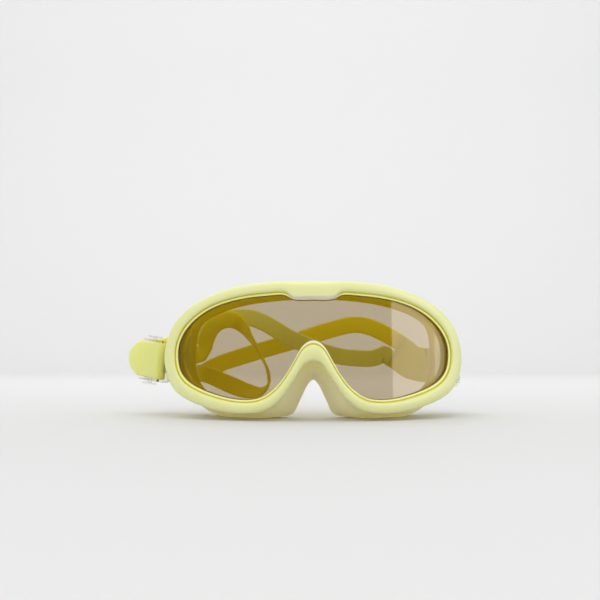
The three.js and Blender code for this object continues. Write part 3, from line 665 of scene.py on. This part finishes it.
def skirt_shell():
    """Wall from the clamped flange back to the waist, flaring to the face edge, where a thin lip
    turns inwards. Inner and outer sides are one closed section, rounded at every corner."""
    waist, face, lip = WAIST_CURVE.copy(), FACE_CURVE.copy(), LIP_CURVE.copy()
    for curve in (waist, face):
        curve[:, 2] = np.maximum(curve[:, 2], 0.0)
    lip[:, 1] = face[:, 1] - 1
    inwards = lip - face
    inwards[:, 1] = 0
    inwards = unit(inwards) * WALL
    back = np.array([0.0, 1.0, 0.0])
    corners = [
        rim_point(FLANGE_SHARE, FLANGE_FRONT), rim_point(0.0, FLANGE_FRONT), rim_point(0.0, NECK),
        waist + inwards, face + inwards - WALL * back, lip - back, lip, face, waist,
        rim_point(NECK_SHARE, NECK), rim_point(NECK_SHARE, FLANGE_BACK),
        rim_point(FLANGE_SHARE, FLANGE_BACK),
    ]
    radii = [0.2, 0.8, 3.0, 9.0, 1.5, 0.4, 0.4, 1.2, 9.0, 3.0, 0.4, 0.2]
    steps = 7
    rings = rounded_rings(corners, radii, steps)
    rings[..., 2] = np.maximum(rings[..., 2], 0.0)
    # Painted light: the skirt's inside walls take the deep yellow, standing in for light coming through the
    # silicone.
    inner = np.zeros(rings.shape[1])
    inner[steps:6 * steps] = 1.0
    step = np.linalg.norm(np.diff(rings, axis=1, prepend=rings[:, :1]), axis=2)
    return sheet(rings, inner=inner[None], run=np.cumsum(step, axis=1))


def retainer_ring():
    """Flat clamping ring behind the skirt's flange."""
    corners = [rim_point(s, d) for s, d in (
        (0.3, RETAINER_FRONT), (0.74, RETAINER_FRONT), (0.74, RETAINER_BACK), (0.3, RETAINER_BACK),
    )]
    return sheet(rounded_rings(corners, 0.5))


piece("frame_moulding", [frame_ring(), *hinge_lugs()], FRAME_FINISH, ["front_frame"], "mask")
piece("lens_bead", [seal_ring()], SEAL_FINISH, ["lens_seal"], "mask")
piece("curved_lens", [lens_shell()], LENS_FINISH, ["lens"], "mask")
piece("face_skirt", [skirt_shell()], SKIRT_FINISH, ["skirt"], "mask")
piece("flange_clamp", [retainer_ring()], FRAME_FINISH, ["skirt_retainer"], "mask")

# ---------- buckles and strap ends ----------


def buckle_basis(name):
    """Maps buckle coordinates to the mask's: u from the pin to the roller, w along the pin."""
    joint = JOINTS[f"{name}_buckle_swivel"]
    pin = (np.array(joint["pos_m"]) - MIDDLE) / MM
    roller = (np.array(JOINTS[f"{name}_roller_spin"]["pos_m"]) - MIDDLE) / MM
    u = unit(roller - pin)
    w = -unit(np.array(joint["axis"], float))
    v = unit(np.cross(w, u))
    return lambda points: points @ np.stack([u, v, w]) + pin


def swap_levels(rings):
    """Turns a shape made for the +w end over to the -w end."""
    return rings * [1, -1, -1]


def side_plate(corners, radii, low, high, round_over, basis):
    """Rounded outline in u and v made thick along w."""
    return tube(basis(plate(rounded_outline(corners, radii), low, high, round_over)))


def slab(u0, u1, v0, v1, w0, w1, soft, basis):
    """Box in u, v and w with its edges rounded by soft."""
    corners = [[u0, v0], [u1, v0], [u1, v1], [u0, v1]]
    return side_plate(corners, soft * 1.5, w0, w1, soft, basis)


def buckle_shells(basis):
    """Barrel on the pin, bridge, two side rails, and the middle bar with its button pockets."""
    bore, rim, end, soft = BORE_RADIUS, BARREL_RADIUS, BARREL_HALF, 0.3
    barrel = turned([
        (bore, -end), (rim - soft, -end), (rim, soft - end),
        (rim, end - soft), (rim - soft, end), (bore, end),
    ], 40, basis)
    height, width = BRIDGE_HALF_HEIGHT, RAIL_OUTER
    return [
        sheet(barrel),
        slab(1.6, YOKE_END, -1.6, 1.6, -end, end, 0.3, basis),
        slab(YOKE_START, YOKE_END, -YOKE_HALF_HEIGHT, YOKE_HALF_HEIGHT, -width, width, 0.35, basis),
        slab(RAIL_START, RAIL_END, -RAIL_HALF_HEIGHT, RAIL_HALF_HEIGHT, RAIL_INNER, width, 0.3, basis),
        slab(RAIL_START, RAIL_END, -RAIL_HALF_HEIGHT, RAIL_HALF_HEIGHT, -width, -RAIL_INNER, 0.3, basis),
        slab(BRIDGE_START, POCKET_START, -height, height, -width, width, 0.25, basis),
        slab(POCKET_END, BRIDGE_END, -height, height, -width, width, 0.25, basis),
        slab(POCKET_START - 0.2, POCKET_END + 0.2, -height, height, -POCKET_FLOOR, POCKET_FLOOR, 0.2, basis),
    ]


def zigzag_spring(turn):
    """Round wire bent to and fro: its place along the buckle swings as a cosine through five half
    waves between the pocket's floor and the button's stem."""
    s = np.linspace(0, 1, 90)
    centre = np.stack([
        SPRING_MIDDLE + SPRING_SWING * np.cos(5 * np.pi * s), np.zeros_like(s),
        SPRING_FOOT + (SPRING_TOP - SPRING_FOOT) * s,
    ], axis=1)
    side = np.array([0.0, 1.0, 0.0])
    normal = np.cross(unit(np.gradient(centre, axis=0)), side)
    angle = np.linspace(0, 2 * np.pi, 12, endpoint=False)[None, :, None]
    rings = centre[:, None] + WIRE_RADIUS * (np.cos(angle) * normal[:, None] + np.sin(angle) * side)
    return tube(turn(rings))


def strap_section(centre, across, through, half, thick):
    """Rounded-edged strip: across times a rounded rectangle's width plus through times its depth."""
    half = np.broadcast_to(half, centre.shape[:1])
    thick = np.broadcast_to(thick, centre.shape[:1])
    edge = np.linspace(-np.pi / 2, np.pi / 2, 9)
    flat = np.linspace(1, -1, 9)[1:-1]
    bulge = np.cos(edge)[None] * (thick / 2)[:, None]
    rise = np.sin(edge)[None] * (thick / 2)[:, None]
    inner = (half - thick / 2)[:, None]
    ones = np.ones((len(centre), len(flat)))
    face = ones * (thick / 2)[:, None]
    a = np.concatenate([inner + bulge, inner * flat, -inner - bulge[:, ::-1], -inner * flat], axis=1)
    b = np.concatenate([rise, face, rise[:, ::-1], -face], axis=1)
    return centre[:, None] + a[..., None] * across[:, None] + b[..., None] * through[:, None]


def strap_frames(centre, across):
    """Unit directions along, across and through a strip whose width is near the given directions."""
    along = unit(np.gradient(centre, axis=0))
    across = across - np.sum(across * along, axis=1, keepdims=True) * along
    across = unit(across)
    return along, across, np.cross(along, across)


def slit(place, slope, side):
    """Middle of the strap where it divides, its heading there and its width direction."""
    slope = math.radians(slope)
    heading = np.array([-side * math.cos(slope), 0.0, math.sin(slope)])
    across = np.array([side * heading[2], 0.0, abs(heading[0])])
    return np.array(place, float), heading, across


def strap_end(basis, run, slit_end, side):
    """Tail, half turn round the roller, inner length, quarter bend and run to the slit, one strip.
    The tail's half width near its tip is the root of its radius squared less the distance squared."""
    skew = math.tan(math.radians(2.5))
    tip = TAIL_END - TAIL_HALF * (1 - np.cos(np.linspace(0, np.pi / 2, 24)))
    tail_u = np.concatenate([tip, np.linspace(tip[-1], ROLLER_AT, 26)[1:]])
    tail = np.stack([tail_u, np.full_like(tail_u, -WRAP_MIDDLE), np.zeros_like(tail_u)], axis=1)
    turn = np.linspace(-np.pi / 2, -3 * np.pi / 2, 25)[1:]
    hook = np.stack([
        ROLLER_AT + WRAP_MIDDLE * np.cos(turn), WRAP_MIDDLE * np.sin(turn), np.zeros_like(turn),
    ], axis=1)
    inner_u = np.linspace(ROLLER_AT, RUN_END, 14)[1:]
    inner = np.stack([inner_u, np.full_like(inner_u, WRAP_MIDDLE), np.zeros_like(inner_u)], axis=1)
    swing = np.linspace(-np.pi / 2, 0, 17)[1:]
    bend = np.stack([
        RUN_END + BEND_RADIUS * np.cos(swing), WRAP_MIDDLE + BEND_RADIUS * (1 + np.sin(swing)),
        np.zeros_like(swing),
    ], axis=1)
    local = np.concatenate([tail, hook, inner, bend])
    lift = np.clip(local[:len(tail), 0] - ROLLER_AT, 0, None) * skew
    local[:len(tail), 2] = lift * side
    placed = basis(local)
    place, heading, slit_across = slit_end
    start = basis(np.array([
        [RUN_END + BEND_RADIUS, WRAP_MIDDLE + BEND_RADIUS + k, 0.0] for k in (0.0, 1.2, 2.4)
    ]))
    rest = spline(np.vstack([start, run, place - 4 * heading, place]), False, 14)
    rest = even_spacing(rest, 60)[1:]
    centre = np.vstack([placed, rest])
    w = basis(np.array([[0.0, 0, 1], [0, 0, 0]]))
    pin_axis = unit(w[0] - w[1]) * (1 if (w[0] - w[1])[2] > 0 else -1)
    t = np.concatenate([np.zeros(len(placed)), np.linspace(0, 1, len(rest) + 1)[1:]])[:, None]
    across = pin_axis * (1 - t) + slit_across * t
    _, across, through = strap_frames(centre, across)
    half = np.full(len(centre), STRAP_HALF - 0.1)
    tail_part = np.linspace(TAIL_HALF, STRAP_HALF - 0.1, len(tail))
    reach = np.clip(TAIL_HALF - (TAIL_END - tail_u), 0, TAIL_HALF)
    half[:len(tail)] = np.where(reach > 0, np.sqrt(np.clip(TAIL_HALF**2 - reach**2, 0.81, None)), tail_part)
    thick = np.full(len(centre), STRAP_THICK)
    thick[:3] = [0.9, 1.3, 1.5]
    thick[-5:] = [1.6, 1.5, 1.3, 1.1, 0.9]
    rings = strap_section(centre, across, through, half, thick)
    # Painted light: the tail stays pale as front-lit; from the roller on, the strap turns to the deep yellow
    # that stands in for light from behind.
    backlit_share = np.zeros(len(centre))
    backlit_share[len(tail):] = np.linspace(0.3, 1.0, len(centre) - len(tail))
    return tube(rings, inner=backlit_share[:, None] * 0.8)


def band_end(slit_end, level, steps):
    """Points at the slit where a narrow band starts, level above or below the strap's middle."""
    place, heading, across = slit_end
    return [place + heading * k + across * level * (STRAP_HALF - BAND_HALF) for k in steps]


def strap_band(middle, directions, left_level, right_level):
    """One narrow band between the two slits. The direction of its width passes through a list, one
    for each point of the curve, in proportion between them."""
    points = np.vstack([
        band_end(LEFT, left_level, BAND_STEPS), middle,
        band_end(RIGHT, right_level, BAND_STEPS[::-1]),
    ])
    curve = spline(points, False, STATIONS_PER_SPAN)
    at = np.arange(len(curve)) / STATIONS_PER_SPAN
    across = np.stack([np.interp(at, np.arange(len(points)), column) for column in directions.T], axis=1)
    even = even_spacing(np.hstack([curve, across]), 12 * len(points))
    _, across, through = strap_frames(even[:, :3], even[:, 3:])
    return strap_section(even[:, :3], across, through, BAND_HALF, STRAP_THICK)


LEFT, RIGHT = slit(*LEFT_SLIT), slit(*RIGHT_SLIT)

def button(name, side, end, basis):
    """Squeeze button with its stem, and the spring under it, at one end of a buckle's width."""
    level = "upper" if end * side > 0 else "lower"

    def turn(points):
        return basis(points if end > 0 else swap_levels(points))

    cap = [
        [CAP_START, -CAP_HALF_HEIGHT], [CAP_END, -CAP_HALF_HEIGHT],
        [CAP_END, CAP_HALF_HEIGHT], [CAP_START, CAP_HALF_HEIGHT],
    ]
    low = RAIL_OUTER + 1.0
    piece(f"{name}_{level}_press", [
        side_plate(cap, 1.0, low, low + 1.0, 0.35, turn),
        slab(STEM_START, STEM_END, -STEM_HALF_HEIGHT, STEM_HALF_HEIGHT, STEM_TIP, low + 0.3, 0.15, turn),
    ], CLEAR_FINISH, [f"{name}_{level}_button"], f"{name}_{level}_squeeze")
    spring = piece(f"{name}_{level}_spring", [zigzag_spring(turn)], STEEL_FINISH,
                   [f"{name}_{level}_button_spring"], f"{name}_buckle")
    foot, top = turn(np.array([[SPRING_MIDDLE, 0, SPRING_FOOT], [SPRING_MIDDLE, 0, SPRING_TOP]]))
    tuple(top - foot)
    tuple(foot * MM + MIDDLE)
    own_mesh(spring)


def buckle_and_strap_end(name, side, run, slit_end):
    """Everything on one side that turns with the buckle, and the strap's end, a fixed strip that runs
    round a bend from the buckle to the mask."""
    basis = buckle_basis(name)

    def on_roller(points):
        return basis(points + [ROLLER_AT, 0, 0])

    piece(f"{name}_buckle", buckle_shells(basis), CLEAR_FINISH,
          [f"{name}_buckle_body"], f"{name}_buckle")
    half, soft = STRAP_HALF, 0.3
    roller = turned([
        (1.0, -half), (1.4, -half), (ROLLER_RADIUS, soft - half), (ROLLER_RADIUS, half - soft),
        (1.4, half), (1.0, half),
    ], 32, on_roller)
    piece(f"{name}_roller", [sheet(roller)], CLEAR_FINISH,
          [f"{name}_strap_roller"], f"{name}_roller")
    end, soft = RAIL_OUTER, 0.25
    axle = turned([(0.45, -end), (0.7, soft - end), (0.7, end - soft), (0.45, end)], 24, on_roller)
    piece(f"{name}_axle", [tube(axle)], STEEL_FINISH, [f"{name}_roller_axle"], f"{name}_buckle")
    head = LUG_OUTER + 0.3
    tip, rim = head + PIN_HEAD, PIN_HEAD_RADIUS
    pin = turned([
        (rim - 0.5, -tip), (rim, 0.25 - tip), (rim, -head), (PIN_RADIUS, -head),
        (PIN_RADIUS, head), (rim, head), (rim, tip - 0.25), (rim - 0.5, tip),
    ], 32, basis)
    piece(f"{name}_pin", [tube(pin)], STEEL_FINISH, [f"{name}_hinge_pin"], "mask")
    for end in (-1, 1):
        button(name, side, end, basis)
    strap = piece(f"{name}_strap_end", [strap_end(basis, run, slit_end, side)], STRAP_FINISH,
                  [f"{name}_strap_tail", f"{name}_strap_bend", f"{name}_strap_run"])
    start, end = basis(np.array([
        [RUN_END, WRAP_MIDDLE + BEND_RADIUS, 0], [RUN_END, WRAP_MIDDLE + 1.2, 0],
    ])) * MM + MIDDLE
    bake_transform(strap)


buckle_and_strap_end("left", -1, LEFT_RUN, LEFT)
buckle_and_strap_end("right", 1, RIGHT_RUN, RIGHT)

looped = np.array(LOOPED_BAND)
crossing_widths = np.linspace(LEFT[2], RIGHT[2], len(CROSSING_BAND) + 6)
crossing = strap_band(CROSSING_BAND, crossing_widths, 1, -1)
looped_widths = np.vstack([[LEFT[2]] * 3, looped[:, 3:], [-RIGHT[2]] * 3])
back = strap_band(looped[:, :3], looped_widths, -1, 1)
# Painted light: the front-lit crossing band stays mostly pale, the back band takes the deep yellow of light
# from behind.
piece("strap_rear", [tube(crossing, inner=0.25), tube(back, inner=1.0)], STRAP_FINISH,
      ["strap_crossing_band", "strap_back_band"], "mask")

# ---------- floor, light and camera ----------


def sweep():
    """Floor that rises behind into a wall by a quarter circle: height is radius times one minus the
    cosine of the turn."""
    turn = np.linspace(0, np.pi / 2, 24)
    radius, flat = 0.8, 1.0
    depth = np.concatenate([[-3.0], flat + radius * np.sin(turn), [flat + radius]])
    height = np.concatenate([[0.0], radius * (1 - np.cos(turn)), [3.5]])
    across = np.linspace(-3.5, 3.5, 3)
    grid = np.stack([
        np.repeat(across[None], len(depth), 0),
        np.repeat(depth[:, None], 3, 1),
        np.repeat(height[:, None], 3, 1),
    ], axis=-1)
    i = np.arange(len(depth) - 1)[:, None]
    j = np.arange(2)[None]
    faces = np.stack([i * 3 + j, i * 3 + j + 1, (i + 1) * 3 + j + 1, (i + 1) * 3 + j], -1).reshape(-1, 4)
    mesh = bpy.data.meshes.new("sweep")
    mesh.from_pydata(grid.reshape(-1, 3).tolist(), [], faces.tolist())
    mesh.shade_smooth()
    f = Finish("white_paper")
    tooth = f.noise(400.0, 3.0)
    # Painted light: the paper is painted lighter up the wall than on the floor, making up for the weaker
    # light on the wall so the backdrop reads evenly bright.
    height = f.node("ShaderNodeSeparateXYZ", None, {"Vector": f.place()}, output="Z")
    mesh.materials.append(f.done(f.principled(
        base_color=f.mix(height + (tooth - 0.5) * 0.02, PAPER_FLOOR, PAPER_WALL),
        roughness=tooth * 0.1 + 0.75,
    )))
    made = bpy.data.objects.new("sweep", mesh)
    bpy.context.scene.collection.objects.link(made)
    made.visible_glossy = False


def panel(name, place, target, width, height, watts, colour=(1, 1, 1)):
    """A soft rectangular light turned to face a point."""
    data = bpy.data.lights.new(name, "AREA")
    data.shape = "RECTANGLE"
    data.size, data.size_y = width, height
    data.energy = watts
    data.color = colour
    lamp = bpy.data.objects.new(name, data)
    bpy.context.scene.collection.objects.link(lamp)
    away = np.array(place, float) - np.array(target, float)
    x, y, z = away
    lamp.location = place
    lamp.rotation_euler = (math.atan2(math.hypot(x, y), z), 0, math.atan2(y, x) + math.pi / 2)
    lamp.visible_camera = False
    return lamp


def surroundings():
    """Even pale light from all round. Polished pieces see the room darker in front than behind, by
    the direction's y."""
    world = bpy.data.worlds.new("room")
    world.use_nodes = True
    nodes, links = world.node_tree.nodes, world.node_tree.links
    nodes.clear()
    direction = nodes.new("ShaderNodeTexCoord")
    split = nodes.new("ShaderNodeSeparateXYZ")
    remap = nodes.new("ShaderNodeMapRange")
    remap.inputs["From Min"].default_value = -0.3
    remap.inputs["To Min"].default_value = ROOM_IN_FRONT
    remap.inputs["To Max"].default_value = ROOM_LIGHT
    seen = nodes.new("ShaderNodeLightPath")
    choice = nodes.new("ShaderNodeMix")
    choice.inputs[2].default_value = ROOM_LIGHT
    back = nodes.new("ShaderNodeBackground")
    out = nodes.new("ShaderNodeOutputWorld")
    links.new(direction.outputs["Generated"], split.inputs[0])
    links.new(split.outputs["Y"], remap.inputs["Value"])
    links.new(seen.outputs["Is Glossy Ray"], choice.inputs[0])
    links.new(remap.outputs[0], choice.inputs[3])
    links.new(choice.outputs[0], back.inputs["Strength"])
    links.new(back.outputs[0], out.inputs["Surface"])
    back.inputs["Color"].default_value = (1, 1, 1, 1)
    bpy.context.scene.world = world


ROOM_LIGHT, ROOM_IN_FRONT = 1.0, 0.05
PAPER_FLOOR, PAPER_WALL = (0.67, 0.67, 0.67, 1), (0.77, 0.77, 0.77, 1)
LOOK_AT = (0.0, -0.02, 0.035)
sweep()
surroundings()
panel("overhead", (-0.1, -0.2, 1.4), LOOK_AT, 1.4, 1.4, 6)
fill = panel("front_fill", (-0.2, -1.4, 0.6), LOOK_AT, 1.2, 1.0, 3.5)
fill.visible_glossy = False
side_card = panel("side_card", (0.86, -0.27, 0.25), LOOK_AT, 1.0, 1.0, 6.5)
side_card.visible_diffuse = False
wash = panel("wall_wash", (0, 0.35, 0.8), (0, 1.55, 0.1), 3.0, 0.3, 6)
wash.visible_glossy = False

camera_data = bpy.data.cameras.new("camera")
camera_data.sensor_width = 36
camera_data.lens = 49.86
camera_data.shift_x = -10 / 600
camera_data.shift_y = 55 / 600
camera_data.clip_start = 0.01
camera = bpy.data.objects.new("camera", camera_data)
bpy.context.scene.collection.objects.link(camera)
camera.location = tuple(np.array([-1.62, -408.0, 33.0]) * MM + MIDDLE)
camera.rotation_euler = (math.pi / 2, 0, 0)
bpy.context.scene.camera = camera
bpy.context.scene.view_settings.view_transform = "Standard"

bpy.context.view_layer.update()
